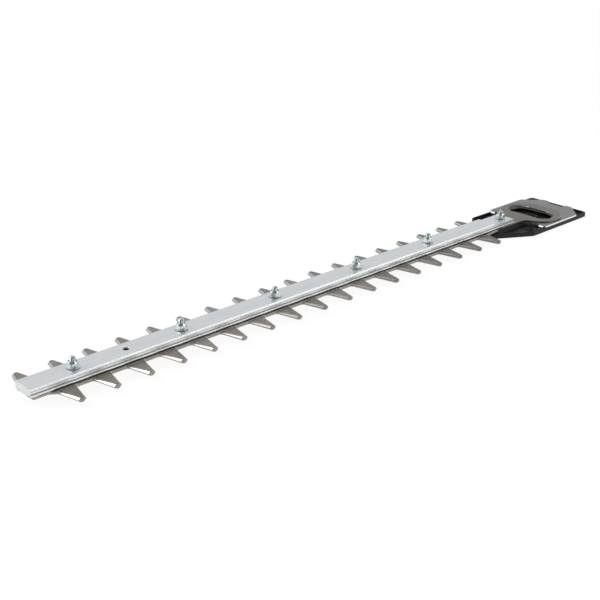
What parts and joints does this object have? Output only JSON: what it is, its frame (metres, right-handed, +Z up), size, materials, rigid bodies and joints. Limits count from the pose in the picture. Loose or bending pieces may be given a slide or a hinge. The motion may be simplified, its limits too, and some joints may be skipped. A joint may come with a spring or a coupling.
{
  "type": "hedge trimmer blade set",
  "caption": "Single-acting hedge trimmer blade set: a toothed steel blade sliding on a fixed one under a grooved aluminium guide bar, with an oval drive ring, base plate and black cover.",
  "frame": {"origin": "on the flat underside of the under cover, below the crank axis in the middle of the drive slot", "axes": "+X along the blades from their tip to the machine end, +Y across the blades, +Z up towards the guide bar"},
  "size_m": [0.6584, 0.072, 0.0234],
  "materials": {
    "bar_aluminium": "satin",
    "blade_steel": "satin",
    "plate_steel": "satin",
    "zinc_fastener": "bright zinc",
    "cover_black": "satin"
  },
  "bodies": {
    "frame": {"guide_bar": "bar_aluminium", "lower_blade": "blade_steel", "base_plate": "plate_steel", "under_cover": "cover_black", "clamp_screw_1": "zinc_fastener", "guide_sleeve_1": "zinc_fastener", "lock_nut_1": "zinc_fastener", "flat_washer_1": "zinc_fastener", "clamp_screw_2": "zinc_fastener", "guide_sleeve_2": "zinc_fastener", "lock_nut_2": "zinc_fastener", "flat_washer_2": "zinc_fastener", "clamp_screw_3": "zinc_fastener", "guide_sleeve_3": "zinc_fastener", "lock_nut_3": "zinc_fastener", "flat_washer_3": "zinc_fastener", "clamp_screw_4": "zinc_fastener", "guide_sleeve_4": "zinc_fastener", "lock_nut_4": "zinc_fastener", "flat_washer_4": "zinc_fastener", "clamp_screw_5": "zinc_fastener", "guide_sleeve_5": "zinc_fastener", "lock_nut_5": "zinc_fastener", "flat_washer_5": "zinc_fastener", "clamp_screw_6": "zinc_fastener", "guide_sleeve_6": "zinc_fastener", "lock_nut_6": "zinc_fastener"},
    "upper": {"upper_blade": "blade_steel"}
  },
  "joints": [
    {"name": "upper_slide", "type": "slide", "parent": "frame", "child": "upper", "axis": [1, 0, 0], "range_m": [-0.013, 0.013]}
  ]
}
